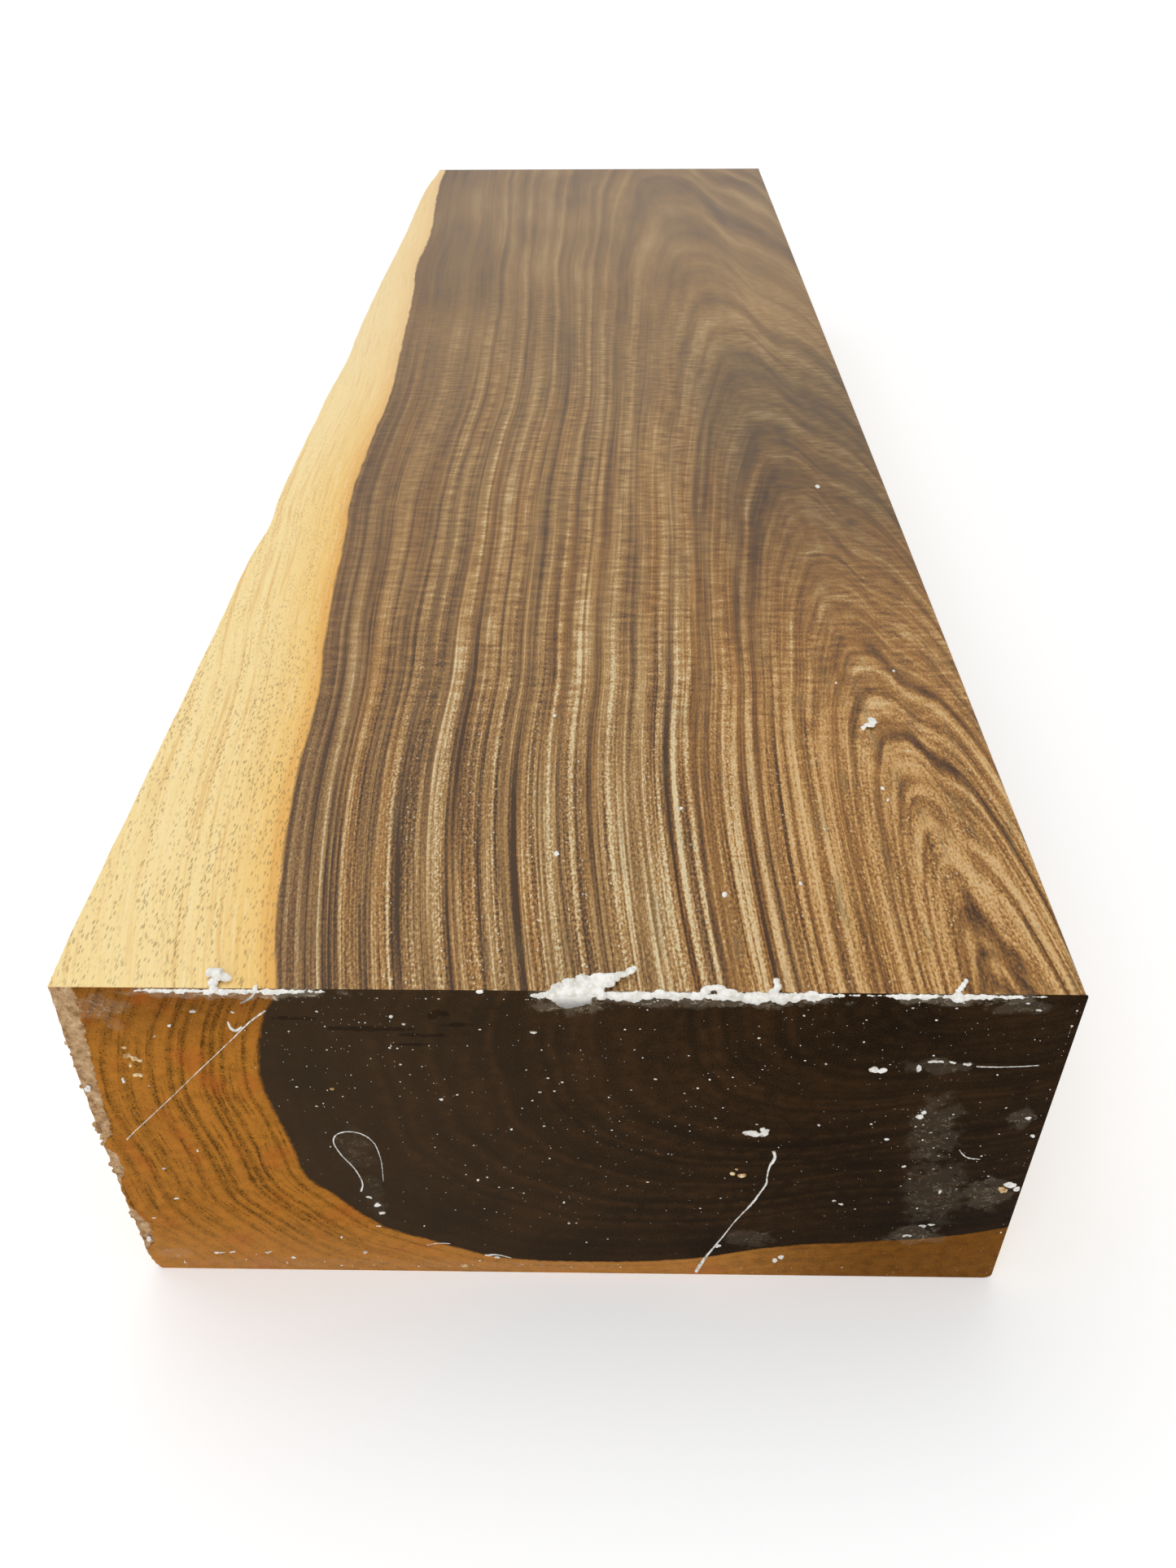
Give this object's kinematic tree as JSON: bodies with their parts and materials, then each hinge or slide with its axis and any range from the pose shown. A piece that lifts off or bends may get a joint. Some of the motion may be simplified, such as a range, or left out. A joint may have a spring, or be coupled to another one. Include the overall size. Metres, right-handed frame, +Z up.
{
  "type": "lignum vitae block",
  "caption": "Sawn turning block of lignum vitae with one natural sapwood edge and wax-sealed ends.",
  "frame": {"origin": "centre of the block's outer box, on its underside, the surface that the block lies on", "axes": "+Y along the grain, from the waxed front end that the picture shows to the back end; +X towards the sawn side, with the natural edge on -X; +Z up"},
  "size_m": [0.1592, 0.542, 0.0778],
  "materials": {
    "timber": "satin",
    "end_wax": "satin"
  },
  "bodies": {
    "root": {"timber_block": "timber", "front_end_wax": "end_wax", "back_end_wax": "end_wax"}
  },
  "joints": []
}
